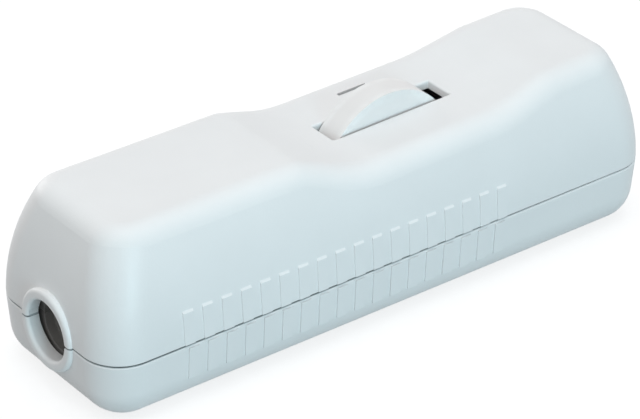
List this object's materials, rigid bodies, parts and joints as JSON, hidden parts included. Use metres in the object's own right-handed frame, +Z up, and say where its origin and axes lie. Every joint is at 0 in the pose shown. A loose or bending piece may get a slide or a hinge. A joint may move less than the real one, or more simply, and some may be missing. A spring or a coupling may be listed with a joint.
{
  "type": "inline cord dimmer",
  "caption": "White inline dimmer for a lamp cord: a ribbed two-shell housing with a thumbwheel in its saddle-shaped top and a round cord entry in each end.",
  "frame": {"origin": "middle of the flat underside", "axes": "+X along the cord, towards the end that is nearer the thumbwheel; +Y across; +Z up, out of the top with the thumbwheel"},
  "size_m": [0.1216, 0.0372, 0.0356],
  "materials": {
    "housing_white": "fine matt moulding texture",
    "wheel_white": "smooth, slightly satin",
    "clamp_grey": "matt",
    "case_black": "matt moulded",
    "board_phenolic": "matt laminate",
    "carbon_track": "matt",
    "zinc_steel": "zinc plated",
    "tinned_wire": "tinned, bright",
    "brass": "turned",
    "nickel_caps": "nickel plated",
    "aluminium": "rolled sheet",
    "ferrite": "matt sintered",
    "copper": "enamelled wire",
    "film_yellow": "moulded box",
    "film_red": "moulded box",
    "resistor_beige": "lacquered",
    "diac_blue": "lacquered",
    "clear_glass": "clear, drawn tube",
    "lamp_glass": "clear with a warm tint"
  },
  "bodies": {
    "housing": {"upper_shell": "housing_white", "lower_shell": "housing_white", "potentiometer_case": "case_black", "resistance_plate": "carbon_track", "potentiometer_pins": "tinned_wire", "switch_case": "case_black", "switch_pins": "tinned_wire", "circuit_board": "board_phenolic", "triac_body": "case_black", "triac_tab": "tinned_wire", "heatsink": "aluminium", "heatsink_screw": "zinc_steel", "heatsink_nut": "zinc_steel", "choke_core": "ferrite", "choke_winding": "copper", "film_capacitor": "film_yellow", "timing_capacitors": "film_red", "resistors": "resistor_beige", "diac": "diac_blue", "glow_lamp": "lamp_glass", "component_leads": "tinned_wire", "fuse_tube": "clear_glass", "fuse_caps": "nickel_caps", "fuse_clips": "nickel_caps", "terminal_block_left": "clamp_grey", "terminal_block_right": "clamp_grey", "terminal_cages": "brass", "terminal_screws": "zinc_steel", "clamp_base_left": "clamp_grey", "clamp_base_right": "clamp_grey", "clamp_bar_left": "clamp_grey", "clamp_bar_right": "clamp_grey", "clamp_screws": "zinc_steel", "board_screws": "zinc_steel", "housing_screws": "zinc_steel"},
    "wheel": {"thumbwheel": "wheel_white", "wheel_shaft": "zinc_steel", "wiper": "case_black"}
  },
  "joints": [
    {"name": "thumbwheel_turn", "type": "hinge", "parent": "housing", "child": "wheel", "pos_m": [0.01065, 0, 0.0218], "axis": [0, 1, 0], "range_deg": [-150, 150]}
  ]
}
